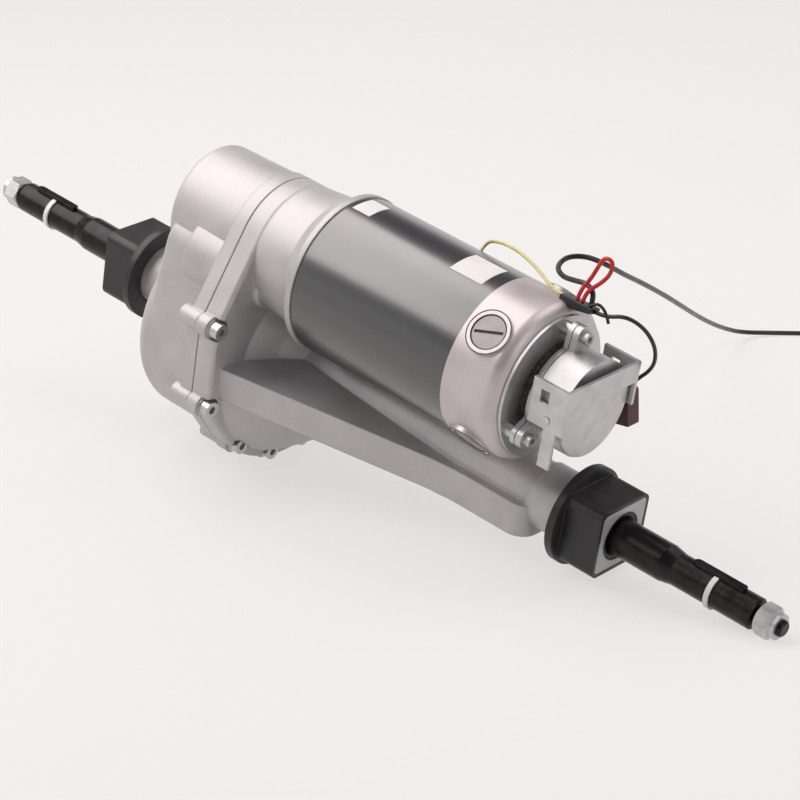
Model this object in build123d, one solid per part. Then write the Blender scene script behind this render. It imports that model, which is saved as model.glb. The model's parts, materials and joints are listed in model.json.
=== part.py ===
"""Electric drive unit of a small scooter: motor, parking brake, gearbox with differential, and axle.

Millimetres. X runs along the axle, Z is up, and the front of the unit faces -Y. The origin is on the
axle's centre line, midway between the two mounting blocks.
"""
from math import acos, atan, cos, degrees, hypot, pi, radians, sin, sqrt, tan
import os

from build123d import *

# Axle and its two mounting blocks
block_face_x = 197.0          # outer face of each block from the middle
block_depth = 25.0
block_side = 42.8             # rubber, over its flats
rubber_wall = 2.5
block_corner = 3.0
flange_radius = 30.0
flange_thick = 5.0
tube_radius = 18.2
tube_bore = 13.5
collar_radius = 19.6
collar_length = 24.0
shaft_radius = 11.0
hub_seat_radius = 9.5
shaft_step_x = 230.0          # where the shaft starts to taper to the wheel's seat
shaft_taper = 8.0
shaft_end_x = 292.0
thread_radius = 4.9
thread_length = 18.0
nut_flats = 17.0
nut_height = 10.0
nut_chamfer = 1.3
nut_collar_radius = 7.6
nut_collar_height = 3.0
nut_gap = 2.0                 # from the end of the wheel's seat
key_width = 5.0
key_height = 5.0
key_length = 35.0
key_proud = 2.0
key_end_gap = 10.0            # from the key to the end of the wheel's seat
band_width = 3.0
band_thick = 1.2
band_gap = 28.0               # from the band to the end of the wheel's seat
bush_radius = 15.0
bush_length = 34.0
seal_width = 6.0
seal_recess = 0.6
shaft_inner_gap = 5.0         # from the differential's centre to each shaft's inner end
side_gear_seat = 14.0         # length of the seat of a shaft's bevel gear
side_gear_step = 3.0          # of that seat below the shaft
running_gap = 0.05            # radial clearance of a turning fit

# Motor
motor_distance = 74.0         # from the axle to the motor's shaft
motor_angle = 99.0            # from +Y towards +Z
can_radius = 48.0
can_wall = 2.5
can_left_x = -12.0
can_right_x = 102.0
bell_right_x = 139.0
bell_wall = 3.5
bell_round = 8.0
bell_face = 6.0
snout_radius = 39.0
snout_flare = 9.0             # length over which it widens to the can
snout_draft = 2.5             # by which it widens before the flare
snout_step = 1.5              # from the flare's end to the can's radius
snout_ring = 4.0
snout_proud = 0.8             # of the ring past the can
can_spigot = 4.0              # of each casting inside the can
spigot_wall = 3.0
magnet_thick = 8.0
magnet_arc = 130.0
air_gap = 0.9
stack_length = 74.0
winding_length = 11.0
slot_count = 16
slot_width = 3.4
slot_depth = 11.0
motor_shaft_radius = 6.0
pinion_shaft_radius = 5.0
commutator_radius = 14.0
commutator_length = 15.0
commutator_bars = 24
brush_x = 118.0
brush_angles = (45.0, 135.0, 225.0, 315.0)
brush_side = 7.0
brush_length = 14.0
brush_boss_radius = 13.4
brush_boss_proud = 1.0
brush_cap_sunk = 0.4
brush_cap_radius = 10.2
brush_cap_thick = 6.0
cap_slot = 1.8

# Gear train, tooth counts and modules
ring_teeth = 56
ring_module = 2.0
ring_face = 14.0
low_pinion_teeth = 10
cluster_teeth = 42
cluster_module = 1.0
cluster_face = 9.0
motor_pinion_teeth = 10
pinion_over = 1.0             # how far a pinion reaches past its wheel at each side
wheel_addendum = 0.6          # in modules: stub teeth, so that small pinions run free
pinion_addendum = 0.9
tip_gap = 0.25                # in modules
backlash = 0.16
pressure_angle = 20.0
cluster_shaft_radius = 6.0

# Differential
side_teeth = 16
spider_teeth = 10
bevel_module = 2.0
bevel_face = 6.0
bevel_backlash = 0.5
case_wall = 5.0
case_radius = 31.0
case_flange_radius = 43.0
case_flange_thick = 6.0
case_bore = 21.0
case_window = (18.0, 22.0)     # along the axle, and up
journal_radius = 15.0
cross_pin_radius = 4.0
ring_relief = (6.0, 5.0)      # web left behind the relief, and rim left under the teeth
ring_screw_count = 6
ring_screw_radius = 2.5

# Gearbox castings
parting_x = -64.0
gasket_thick = 0.6
flange_plate = 9.0            # of the cover
rim_depth = 13.2              # of the housing
rim_round = 2.5
outline_axle = 70.0
outline_cluster = 27.0
shoulder_radius = 22.0        # of the drum's shoulder round the cluster
outline_motor_in = 9.0        # of the outline round the motor from the can's radius
outline_corner = 2.5          # of the outline round its two foremost bolts
drum_radius = 65.0
drum_end_x = -126.0
drum_round = 11.0
shoulder_x = -118.0           # end of the drum's shoulder, round the axle and the cluster
shoulder_round = 3.0
shoulder_step = 0.6           # of the shoulder below the drum
drum_end_wall = 8.5
lobe_radius = 37.0
lobe_end_x = -122.0
lobe_end_round = 3.0
lobe_draft = 1.2
cast_wall = 4.5
bowl_radius = 65.5
belly_length = 52.0           # of the full lower half, from the rim to the axle's tube
belly_middle = (0.4, 51.0)    # share of that length, and radius there
neck_radius = 19.0
neck_root = 42.0
neck_flare = 16.0             # length over which the drum's end narrows to the neck
bowl_face_radius = 50.0       # where the upper half's flat face starts to rise to the carrier's bearing
cluster_cap = 3.0             # wall over the end of the cluster's right bearing
tube_flare = 12.0             # past the carrier's bearing
snout_wall = 17.0
snout_floor = 20.0            # left of the snout's ring
bearing_shoulder = 4.0
bolt_clear = 0.3
spot_face = 0.7               # of the pocket round a washer
boss_radius = 7.0
boss_length = 8.0
bolt_radius = 3.0
bolt_head_radius = 5.0
bolt_head_height = 6.0
bolt_socket = 2.6
bolt_washer = 1.0
bolt_washer_radius = 6.0
bolt_engage = 12.0
bolt_cover_over = 2.0         # of a cover boss past its screw's hole
cover_boss_radius = 6.2
front_bolts = ((81.5, 153.0), (74.5, 191.5))    # reach from the axle, and angle
other_bolts = ((66.0, 230.0), (66.0, 258.0), (66.0, 282.0), (68.0, 312.0), (70.0, 342.0), (70.0, 25.0),
               (82.0, 67.0))
web_half_width = 24.0         # of the long rib, from the axle to its face
web_narrow_x = 88.0           # where the rib has narrowed to that
web_drop = 20.0
web_end_gap = 30.0            # from the rib's end to the block's flange
web_root_half = 68.0
web_rise = 10.5               # of the rib's top where it meets the rim
web_bend = 14.0               # length of the bend each side of where it has narrowed

# Ball bearings: outer radius, width
carrier_bearing = (27.5, 13.0)
motor_bearing = (17.5, 11.0)
bell_bearing = (16.0, 10.0)
pinion_bearing = (11.0, 7.0)
cluster_bearing = (12.0, 7.0)

# Parking brake
brake_screw_angles = (85.0, 205.0, 325.0)
brake_screw_reach = 36.5
brake_screw_radius = 2.0
brake_head_radius = 3.6
brake_head_height = 4.0
brake_sleeve_radius = 4.0
brake_ear_radius = 6.0
ear_root_radius = 8.0
brake_plate_radius = 42.5
brake_plate_thick = 2.0
brake_disc_radius = 27.0
brake_hub_radius = 9.0
brake_disc_thick = 5.0
brake_disc_gap = 0.4
armature_radius = 29.0
armature_thick = 3.0
armature_lift = 0.3
field_radius = 29.0
field_length = 20.0
field_flange = 4.0
coil_outer = 24.0
coil_inner = 13.0
coil_depth = 13.0
cover_thick = 2.0
lever_thick = 2.0
lever_gap = 0.6
lever_arm_height = 11.0
lever_bar_low = 9.0
lever_bar_height = 13.0
lever_tab_length = 34.0
lever_tab_width = 8.0
lever_pin_radius = 2.5
lever_pin_x_gap = 7.0         # from the field's outer face to the lever's pin

# Leads. The boot is set by its heights from the motor's axis, and a lead's points are chosen by hand
boot_angle = 74.0             # round the motor, from +Y towards +Z
boot_left_x = 129.5
boot_right_x = 151.0
boot_low_in = 2.4             # of the boot's lowest edge below the can's radius
boot_proud = 3.0
boot_end_height = 3.4
boot_half_width = 4.6
boot_round = 0.8
cable_radius = 1.5
brake_lead_radius = 1.15
red_wire_radius = 1.2
cream_wire_radius = 1.0
cream_entry_angle = 50.0
arc_share = 0.45              # of the shorter run beside a corner
rest_tilt = 9.96              # degrees: the unit rests on two bosses and its right nut
coil_radius = 27.0
coil_width = 12.0
coil_height = 6.6
coil_lead_in = 24.0
coil_lead_out = 30.0
coil_exit_turn = 60.0
plug_length = 20.0
plug_width = 13.0
plug_height = 8.0
plug_blade_length = 8.0
plug_blade_width = 5.0
plug_blade_thick = 0.8
brake_plug_top = (159.5, 28.5, 72.8)
brake_plug_width = 16.0
brake_plug_length = 25.0
brake_plug_thick = 10.0
brake_plug_cut = 5.0
brake_plug_lean = -12.7       # degrees about Y
pigtail_x = 163.0
pigtail_drop = 13.0           # below the motor's axis

boot_low = can_radius - boot_low_in
boot_top = can_radius + boot_proud


def polar(reach, angle, centre=(0.0, 0.0)):
    """A point in the Y-Z plane at a distance and an angle (from +Y towards +Z) about a centre."""
    return centre[0] + reach * cos(radians(angle)), centre[1] + reach * sin(radians(angle))


outline_motor = can_radius - outline_motor_in

# Centres in the Y-Z plane
axle = (0.0, 0.0)
motor = polar(motor_distance, motor_angle)
low_distance = ring_module * (ring_teeth + low_pinion_teeth) / 2
high_distance = cluster_module * (cluster_teeth + motor_pinion_teeth) / 2
cluster_turn = degrees(acos((motor_distance**2 + low_distance**2 - high_distance**2)
                            / (2 * motor_distance * low_distance)))
cluster = polar(low_distance, motor_angle + cluster_turn)
to_motor = degrees(acos((motor[0] - cluster[0]) / high_distance))
to_axle = motor_angle + cluster_turn - 180.0

# Places along X inside the gearbox
carrier_left_x = drum_end_x + drum_end_wall
case_left_x = carrier_left_x + carrier_bearing[1] + 1.0
side_pitch_x = bevel_module * spider_teeth / 2
case_half = side_pitch_x + 6.0
diff_x = case_left_x + case_wall + case_half
case_right_x = diff_x + case_half + case_wall
ring_right_x = case_right_x + 2.0
ring_left_x = ring_right_x - ring_face
carrier_right_x = ring_right_x + 3.0
cavity_right_x = ring_right_x + 2.5
cluster_right_x = diff_x - 3.0
cluster_left_x = cluster_right_x - cluster_face
flange_in_x = block_face_x - block_depth - flange_thick
block_in_x = block_face_x - block_depth
web_left_x = parting_x + rim_depth - 2.0


def slab(sketch, x0, x1):
    """A sketch drawn in Y and Z, made solid from x0 to x1."""
    return extrude(Plane.YZ.offset(x0) * sketch, amount=x1 - x0)


def rod(x0, x1, radius, centre=axle):
    return slab(Pos(*centre) * Circle(radius), x0, x1)


def pipe(x0, x1, outer, inner, centre=axle):
    return slab(Pos(*centre) * (Circle(outer) - Circle(inner)), x0, x1)


def turned(points, centre=axle):
    """A solid turned about an axis along X from (x, radius) points."""
    face = make_face(Polyline(*points, close=True))
    return Pos(0, centre[0], centre[1]) * revolve(face, Axis.X)


def square(side, corner):
    return RectangleRounded(side, side, corner)


def one(shape):
    """The shape as a plain solid or compound, with seams between like faces removed."""
    return shape.clean()


def involute(angle):
    return tan(angle) - angle


def tooth_points(teeth, module, addendum, root_radius, gap, turn, base_scale=1.0):
    """Corners of a spur gear's outline, each flank in three straight steps along its involute."""
    pitch_radius = module * teeth / 2
    tip_radius = pitch_radius + addendum * module
    base_radius = pitch_radius * cos(radians(pressure_angle))
    half_pitch = pi / (2 * teeth) - gap / (2 * pitch_radius) + involute(radians(pressure_angle))
    flank = []
    start = max(base_radius, root_radius)
    if root_radius < base_radius:
        flank.append((root_radius, half_pitch))
    for step in range(4):
        radius = start + (tip_radius - start) * step / 3
        flank.append((radius, half_pitch - involute(acos(min(1.0, base_radius / radius)))))
    points = []
    for tooth in range(teeth):
        middle = turn + 2 * pi * tooth / teeth
        points += [(radius, middle - half * base_scale) for radius, half in flank]
        points += [(radius, middle + half * base_scale) for radius, half in reversed(flank)]
    return points


def outline(points, centre=axle):
    corners = [(centre[0] + r * cos(a), centre[1] + r * sin(a)) for r, a in points]
    return make_face(Polyline(*corners, close=True))


def spur(teeth, mate_teeth, module, addendum, mate_addendum, angle, centre):
    """A spur gear's outline, with a tooth's middle at the given angle in degrees."""
    distance = module * (teeth + mate_teeth) / 2
    root = distance - module * (mate_teeth / 2 + mate_addendum + tip_gap)
    return outline(tooth_points(teeth, module, addendum, root, backlash / 2, radians(angle)), centre)


def bevel(teeth, mate_teeth, addendum, mate_addendum, turn):
    """A straight bevel gear about +Z, cone point at the origin, with the height of its large end."""
    half_angle = atan(teeth / mate_teeth)
    cone = bevel_module * hypot(teeth, mate_teeth) / 2
    virtual = teeth / cos(half_angle)
    mate_virtual = mate_teeth / sin(half_angle)
    distance = bevel_module * (virtual + mate_virtual) / 2
    root = distance - bevel_module * (mate_virtual / 2 + mate_addendum + tip_gap)
    pitch = bevel_module * virtual / 2
    tip = pitch + addendum * bevel_module
    base = pitch * cos(radians(pressure_angle))
    half_pitch = pi / (2 * virtual) - bevel_backlash / (4 * pitch) + involute(radians(pressure_angle))
    flank = []
    start = max(base, root)
    if root < base:
        flank.append((root, half_pitch))
    for step in range(3):
        radius = start + (tip - start) * step / 2
        flank.append((radius, half_pitch - involute(acos(min(1.0, base / radius)))))
    back_point = cone / cos(half_angle)
    heel = cone * cos(half_angle)
    toe = heel * (cone - bevel_face) / cone

    def ring_at(height):
        corners = []
        for tooth in range(teeth):
            middle = turn + 2 * pi * tooth / teeth
            sides = [(r, -h) for r, h in flank] + [(r, h) for r, h in reversed(flank)]
            for radius, half in sides:
                across = radius * cos(half_angle)
                along = back_point - radius * sin(half_angle)
                azimuth = middle + half / cos(half_angle)
                scale = height / along
                corners.append((across * scale * cos(azimuth), across * scale * sin(azimuth)))
        return Plane.XY.offset(height) * make_face(Polyline(*corners, close=True))

    return loft([ring_at(toe), ring_at(heel)], ruled=True), heel


def ball_bearing(x0, size, bore, centre=axle):
    """A closed bearing: two rings with a shield set a little below their faces."""
    outer, width = size
    third = (outer - bore) * 0.28
    body = pipe(x0, x0 + width, outer, bore + running_gap, centre)
    sunk = 0.5
    groove = pipe(0, sunk, outer - third, bore + third, centre)
    body -= Pos(x0, 0, 0) * groove
    body -= Pos(x0 + width - sunk, 0, 0) * groove
    return body


def hull_outline():
    """The gearbox's outline: the hull of circles about its three shafts and its foremost bolts."""
    circles = [(axle, outline_axle), (cluster, outline_cluster), (motor, outline_motor)]
    circles += [(polar(*bolt), outline_corner) for bolt in front_bolts]
    edges = [(Pos(*centre) * Circle(radius)).edge() for centre, radius in circles]
    return make_hull(edges)


def bolt_places():
    return [polar(*bolt) for bolt in front_bolts + other_bolts]


ring_clear = ring_module * (ring_teeth / 2 + wheel_addendum) + 3.0
cluster_clear = cluster_module * (cluster_teeth / 2 + wheel_addendum) + 1.5
cluster_bearing_left_x = cluster_left_x - pinion_over - 1.0 - cluster_bearing[1]
cluster_bearing_right_x = ring_right_x + pinion_over + 1.5
pinion_bearing_x = cluster_left_x - pinion_over - 2.0 - pinion_bearing[1]
motor_bearing_x = can_left_x - snout_ring - motor_bearing[1] - 2.0
pinion_neck_radius = cluster_module * (motor_pinion_teeth / 2 - 1.0)


def gearbox_cover():
    """Left casting: drum, motor lobe, cluster lobe, neck and the square end inside the left block."""
    face_x = parting_x - gasket_thick / 2
    drum = rod(drum_end_x, face_x, drum_radius)
    drum = fillet(drum.edges().group_by(Axis.X)[0], drum_round)
    lobe = turned([(lobe_end_x, 0), (lobe_end_x, lobe_radius), (face_x, lobe_radius + lobe_draft),
                   (face_x, 0)], motor)
    lobe = fillet(lobe.edges().group_by(Axis.X)[0], lobe_end_round)
    sketch = make_hull([Circle(drum_radius - shoulder_step).edge(),
                        (Pos(*cluster) * Circle(shoulder_radius)).edge()])
    shoulder = slab(sketch, shoulder_x, face_x)
    shoulder = fillet(shoulder.edges().group_by(Axis.X)[0], shoulder_round)
    body = drum + lobe + shoulder + slab(hull_outline(), face_x - flange_plate, face_x)
    for place in bolt_places():
        body += rod(face_x - bolt_engage - bolt_cover_over, face_x, cover_boss_radius, place)
    neck_start = drum_end_x - neck_flare
    body += turned([(drum_end_x + 1, 0), (drum_end_x + 1, neck_root), (neck_start, neck_radius),
                    (-block_in_x, neck_radius), (-block_in_x, 0)])
    body += slab(square(block_side - 2 * rubber_wall, block_corner), -block_face_x, -block_in_x)
    body -= rod(carrier_left_x + carrier_bearing[1] - 0.01, face_x, ring_clear)
    body -= rod(carrier_left_x, face_x, carrier_bearing[0])
    body -= rod(cluster_bearing_left_x, face_x, cluster_bearing[0], cluster)
    body -= rod(cluster_left_x - pinion_over - 0.5, face_x, cluster_clear, cluster)
    body -= rod(pinion_bearing_x, face_x, pinion_bearing[0], motor)
    body -= rod(-block_face_x, face_x, tube_bore)
    body -= rod(-block_face_x, -block_face_x + seal_recess + seal_width + bush_length, bush_radius)
    for place in bolt_places():
        body -= rod(face_x - bolt_engage, face_x, bolt_radius, place)
    return one(body)


def web_outline():
    """Plan of half the long rib: broad at the gearbox, narrowing to the right, rounded at its end."""
    left_x = web_left_x
    right_x = flange_in_x - web_end_gap
    lean = atan((web_root_half - web_half_width) / (web_narrow_x - left_x))
    bend_start = (web_narrow_x - web_bend * cos(lean), web_half_width + web_bend * sin(lean))
    side = Line((left_x, web_root_half), bend_start)
    bend = TangentArc(bend_start, (web_narrow_x + web_bend, web_half_width), tangent=(cos(lean), -sin(lean)))
    end = TangentArc((right_x, web_half_width), (right_x + web_half_width / 2, web_half_width / 2),
                     tangent=(1, 0))
    edges = [side, bend, Line(bend @ 1, (right_x, web_half_width)), end, Line(end @ 1, ((end @ 1).X, 0)),
             Line(((end @ 1).X, 0), (left_x, 0)), Line((left_x, 0), side @ 0)]
    return make_face(edges)


def web():
    """The long rib on both sides of the tube. Its top and bottom rise together towards the gearbox."""
    half = extrude(Plane.XY.offset(-2 * web_drop) * web_outline(), amount=3 * web_drop)
    profile = Polyline((web_left_x, web_rise), (web_narrow_x, 0), (flange_in_x, 0), (flange_in_x, -web_drop),
                       (web_narrow_x, -web_drop), (web_left_x, web_rise - web_drop), close=True)
    half = half & extrude(make_face(Plane.XZ * profile), amount=2 * web_root_half, both=True)
    return half + mirror(half, Plane.XZ)


def belly(start_x):
    """Lower half of the right casting: full beside the rim, running out to the axle's tube."""
    end_x = start_x + belly_length
    middle_x = start_x + belly_middle[0] * belly_length
    curve = ThreePointArc((start_x, bowl_radius), (middle_x, belly_middle[1]), (end_x, tube_radius))
    edges = [curve, Line((end_x, tube_radius), (end_x, 0)), Line((end_x, 0), (start_x - 1, 0)),
             Line((start_x - 1, 0), (start_x - 1, bowl_radius)),
             Line((start_x - 1, bowl_radius), (start_x, bowl_radius))]
    body = revolve(make_face(edges), Axis.X)
    below = Box(4 * belly_length, 4 * bowl_radius, 2 * bowl_radius,
                align=(Align.CENTER, Align.CENTER, Align.MAX))
    return body & Pos(start_x, 0, 0) * below


def gearbox_housing():
    """Right casting: bowl, snout for the motor, long axle tube with its rib, and the square end."""
    face_x = parting_x + gasket_thick / 2
    rim_x = face_x + rim_depth
    bearing_end_x = carrier_right_x + carrier_bearing[1]
    body = slab(hull_outline(), face_x, rim_x)
    body = fillet(body.edges().group_by(Axis.X)[-1], rim_round)
    body += turned([(rim_x - 1, 0), (rim_x - 1, bowl_face_radius), (rim_x, bowl_face_radius),
                    (bearing_end_x + 2.0, carrier_bearing[0] + cast_wall),
                    (bearing_end_x + tube_flare, tube_radius), (bearing_end_x + tube_flare, 0)])
    cluster_end_x = cluster_bearing_right_x + cluster_bearing[1] + cluster_cap
    cap = rod(rim_x - 1, cluster_end_x, cluster_bearing[0] + cast_wall, cluster)
    body += fillet(cap.edges().group_by(Axis.X)[-1], cluster_cap - 0.5)
    ring_x = can_left_x - snout_ring
    body += turned([(rim_x - 1, 0), (rim_x - 1, snout_radius), (rim_x, snout_radius),
                    (ring_x - snout_flare, snout_radius + snout_draft),
                    (ring_x, can_radius - snout_step), (ring_x, can_radius + snout_proud),
                    (can_left_x, can_radius + snout_proud), (can_left_x, can_radius - can_wall),
                    (can_left_x + can_spigot, can_radius - can_wall), (can_left_x + can_spigot, 0)], motor)
    body += rod(bearing_end_x, flange_in_x, tube_radius)
    body += rod(flange_in_x - collar_length, block_in_x, collar_radius)
    body += slab(square(block_side - 2 * rubber_wall, block_corner), block_in_x, block_face_x)
    body += web()
    body += belly(rim_x)
    for place in bolt_places():
        body += rod(face_x, face_x + boss_length, boss_radius, place)
    body -= rod(face_x, cavity_right_x, ring_clear)
    body -= rod(face_x, bearing_end_x, carrier_bearing[0])
    body -= rod(face_x, cluster_bearing_right_x + cluster_bearing[1], cluster_bearing[0], cluster)
    body -= rod(face_x, ring_x - snout_floor, snout_radius - snout_wall, motor)
    body -= rod(face_x, can_left_x + can_spigot, motor_bearing[0] - bearing_shoulder, motor)
    body -= rod(motor_bearing_x, can_left_x + can_spigot, motor_bearing[0], motor)
    body -= rod(face_x, block_face_x, tube_bore)
    bush_start = block_face_x - seal_recess - seal_width - bush_length
    body -= rod(bush_start, block_face_x, bush_radius)
    head_end_x = face_x + boss_length + bolt_washer + bolt_head_height
    for place in bolt_places():
        body -= rod(face_x, face_x + boss_length, bolt_radius + bolt_clear, place)
        body -= rod(face_x + boss_length, head_end_x + spot_face, bolt_washer_radius + spot_face, place)
    return one(body)


def gasket():
    body = slab(hull_outline(), parting_x - gasket_thick / 2, parting_x + gasket_thick / 2)
    body -= rod(parting_x - 1, parting_x + 1, ring_clear)
    body -= rod(parting_x - 1, parting_x + 1, cluster_bearing[0], cluster)
    body -= rod(parting_x - 1, parting_x + 1, snout_radius - snout_wall, motor)
    for place in bolt_places():
        body -= rod(parting_x - 1, parting_x + 1, bolt_radius + bolt_clear, place)
    return one(body)


def housing_bolts():
    """Socket-head screws from the right, each with its washer."""
    start_x = parting_x + gasket_thick / 2 + boss_length
    tip_x = parting_x - gasket_thick / 2 - bolt_engage + 2.0
    pieces = []
    for place in bolt_places():
        washer = pipe(start_x, start_x + bolt_washer, bolt_washer_radius, bolt_radius, place)
        head_x = start_x + bolt_washer
        body = rod(tip_x, head_x, bolt_radius, place)
        body += rod(head_x, head_x + bolt_head_height, bolt_head_radius, place)
        socket = slab(Pos(*place) * RegularPolygon(bolt_socket, 6), head_x + 2.5, head_x + bolt_head_height)
        pieces += [body - socket, washer]
    return Compound(children=pieces)


def mirrored(body, side):
    return body if side > 0 else mirror(body, Plane.YZ)


def block_rubber(side):
    """Moulded rubber round one end of the axle: a square sleeve with a round flange on its inner side."""
    inner = square(block_side - 2 * rubber_wall, block_corner)
    body = slab(square(block_side, block_corner + rubber_wall) - inner, block_in_x, block_face_x)
    body += slab(Circle(flange_radius) - Circle(collar_radius), flange_in_x, block_in_x)
    return mirrored(one(body), side)


def pair(body):
    """A piece of the right end and its mirror image at the left end."""
    return Compound(children=[mirrored(body, 1), mirrored(body, -1)])


def axle_bushes():
    end_x = block_face_x - seal_recess - seal_width
    return pair(pipe(end_x - bush_length, end_x, bush_radius, shaft_radius + running_gap))


def axle_seals():
    """Lip seals: steel-cased rings whose lips lean on the shafts."""
    end_x = block_face_x - seal_recess
    start_x = end_x - seal_width
    lip = shaft_radius + 2 * running_gap
    body = turned([(start_x, lip + 2.0), (start_x, bush_radius), (end_x, bush_radius), (end_x, lip + 1.4),
                   (end_x - 1.5, lip), (end_x - 3.0, lip)])
    return pair(body)


def axle_shaft(side):
    """Stepped shaft from the differential to the wheel's seat, with a keyway and a threaded end."""
    inner = diff_x + side * shaft_inner_gap
    seat_radius = shaft_radius - side_gear_step
    step = side * shaft_step_x
    seat = side * (shaft_step_x + shaft_taper)
    end = side * shaft_end_x
    tip = side * (shaft_end_x + thread_length)
    body = turned([(inner, 0), (inner, seat_radius), (inner + side * side_gear_seat, seat_radius),
                   (inner + side * side_gear_seat, shaft_radius), (step, shaft_radius),
                   (seat, hub_seat_radius), (end - side * 1.0, hub_seat_radius),
                   (end, hub_seat_radius - 1.0), (end, thread_radius),
                   (tip - side * 1.0, thread_radius), (tip, thread_radius - 1.0), (tip, 0)])
    body -= key_box(side)
    return one(body)


def key_box(side):
    """The key, and the slot that it fills in the shaft."""
    middle = side * (shaft_end_x - key_end_gap - key_length / 2)
    top = hub_seat_radius + key_proud
    body = Box(key_length, key_width, key_height, align=(Align.CENTER, Align.CENTER, Align.MAX))
    body = fillet(body.edges().filter_by(Axis.Z), key_width / 2 - 0.05)
    return Pos(middle, 0, top) * body


def axle_band(side):
    """Thin retaining band round the wheel's seat, cut open at the key."""
    middle = side * (shaft_end_x - band_gap)
    body = pipe(middle - band_width / 2, middle + band_width / 2, hub_seat_radius + band_thick,
                hub_seat_radius)
    gap = Box(band_width + 1, key_width + 1.0, key_height, align=(Align.CENTER, Align.CENTER, Align.MIN))
    return body - Pos(middle, 0, hub_seat_radius - 2.0) * gap


def axle_nut(side):
    """Self-locking nut: hexagon with a turned collar outside."""
    x0 = shaft_end_x + nut_gap
    across = nut_flats / 2 / cos(radians(30))
    body = slab(RegularPolygon(across, 6), x0, x0 + nut_height)
    end_radius = nut_flats / 2 - nut_chamfer / 2
    dome = turned([(x0 - 1, 0), (x0 - 1, end_radius), (x0, end_radius), (x0 + nut_chamfer, across + 0.2),
                   (x0 + nut_height - nut_chamfer, across + 0.2), (x0 + nut_height, end_radius),
                   (x0 + nut_height + 1, end_radius), (x0 + nut_height + 1, 0)])
    body = body & dome
    body += rod(x0 + nut_height, x0 + nut_height + nut_collar_height, nut_collar_radius)
    body -= rod(x0 - 1, x0 + nut_height + nut_collar_height + 1, thread_radius)
    return mirrored(one(body), side)


def side_gear(side):
    """Bevel gear fixed on the inner end of one axle shaft, cone point at the differential's centre."""
    body, heel = bevel(side_teeth, spider_teeth, wheel_addendum, pinion_addendum, 0.0)
    hub = Pos(0, 0, heel) * Cylinder(shaft_radius + 1.5, case_half - heel - 0.3,
                                     align=(Align.CENTER, Align.CENTER, Align.MIN))
    body += hub
    body -= Cylinder(shaft_radius - side_gear_step, 2 * case_half)
    turn = Rot(0, 90, 0) if side > 0 else Rot(0, -90, 0)
    return one(Pos(diff_x, 0, 0) * turn * body)


def spider_gear(side):
    """Bevel gear on the cross pin, which stands along Z."""
    gap_turn = pi / spider_teeth
    body, heel = bevel(spider_teeth, side_teeth, pinion_addendum, wheel_addendum, gap_turn)
    hub_radius = spider_teeth * bevel_module / 2 - 2.0
    seat = sqrt(case_bore**2 - hub_radius**2) - 0.3
    back = Pos(0, 0, heel) * Cylinder(hub_radius, seat - heel, align=(Align.CENTER, Align.CENTER, Align.MIN))
    body += back
    body -= Cylinder(cross_pin_radius + running_gap, 2 * case_radius)
    turn = Rot(0, 0, 0) if side > 0 else Rot(180, 0, 0)
    return one(Pos(diff_x, 0, 0) * turn * body)


def differential_case():
    """Hollow case round the bevel gears, with a flange for the ring gear and a journal at each end."""
    left_journal = carrier_left_x + 0.5
    right_journal = carrier_right_x + carrier_bearing[1] - 0.5
    body = turned([(left_journal, 0), (left_journal, journal_radius), (case_left_x, journal_radius),
                   (case_left_x, case_radius), (ring_left_x - case_flange_thick, case_radius),
                   (ring_left_x - case_flange_thick, case_flange_radius), (ring_left_x, case_flange_radius),
                   (ring_left_x, case_radius), (case_right_x, case_radius), (case_right_x, journal_radius),
                   (right_journal, journal_radius), (right_journal, 0)])
    body -= rod(diff_x - case_half, diff_x + case_half, case_bore)
    body -= rod(left_journal - 1, right_journal + 1, shaft_radius + running_gap)
    body -= Pos(diff_x - 2.0, 0, 0) * Box(case_window[0], 3 * case_radius, case_window[1])
    body -= Pos(diff_x, 0, 0) * Cylinder(cross_pin_radius, 3 * case_radius)
    for place in ring_screw_places():
        body -= rod(ring_left_x - case_flange_thick, ring_left_x, ring_screw_radius, place)
    return one(body)


def ring_screw_places():
    reach = (case_radius + case_flange_radius) / 2
    return [polar(reach, 360 * i / ring_screw_count + 30) for i in range(ring_screw_count)]


def cross_pin():
    return Pos(diff_x, 0, 0) * Cylinder(cross_pin_radius, 2 * case_radius - 2.0)


def ring_gear():
    gap_turn = to_axle + 180.0 + 180.0 / ring_teeth
    sketch = spur(ring_teeth, low_pinion_teeth, ring_module, wheel_addendum, pinion_addendum, gap_turn, axle)
    body = slab(sketch, ring_left_x, ring_right_x)
    body -= rod(ring_left_x - 1, ring_right_x + 1, case_radius)
    rim_radius = ring_module * ring_teeth / 2 - ring_relief[1]
    body -= pipe(ring_left_x + ring_relief[0], ring_right_x + 1, rim_radius, case_flange_radius + 1.0)
    for place in ring_screw_places():
        body -= rod(ring_left_x - 1, ring_right_x + 1, ring_screw_radius, place)
    return one(body)


def ring_screws():
    pieces = []
    for place in ring_screw_places():
        body = rod(ring_left_x - case_flange_thick, ring_right_x, ring_screw_radius, place)
        head = rod(ring_left_x - case_flange_thick - 3.0, ring_left_x - case_flange_thick,
                   2 * ring_screw_radius, place)
        pieces.append(body + head)
    return Compound(children=pieces)


def cluster_pinion():
    """Cluster shaft in one piece with the small pinion that drives the ring gear."""
    sketch = spur(low_pinion_teeth, ring_teeth, ring_module, pinion_addendum, wheel_addendum, to_axle,
                  cluster)
    body = slab(sketch, ring_left_x - pinion_over, ring_right_x + pinion_over)
    body += rod(cluster_bearing_left_x, cluster_bearing_right_x + cluster_bearing[1],
                cluster_shaft_radius, cluster)
    return one(body)


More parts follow.
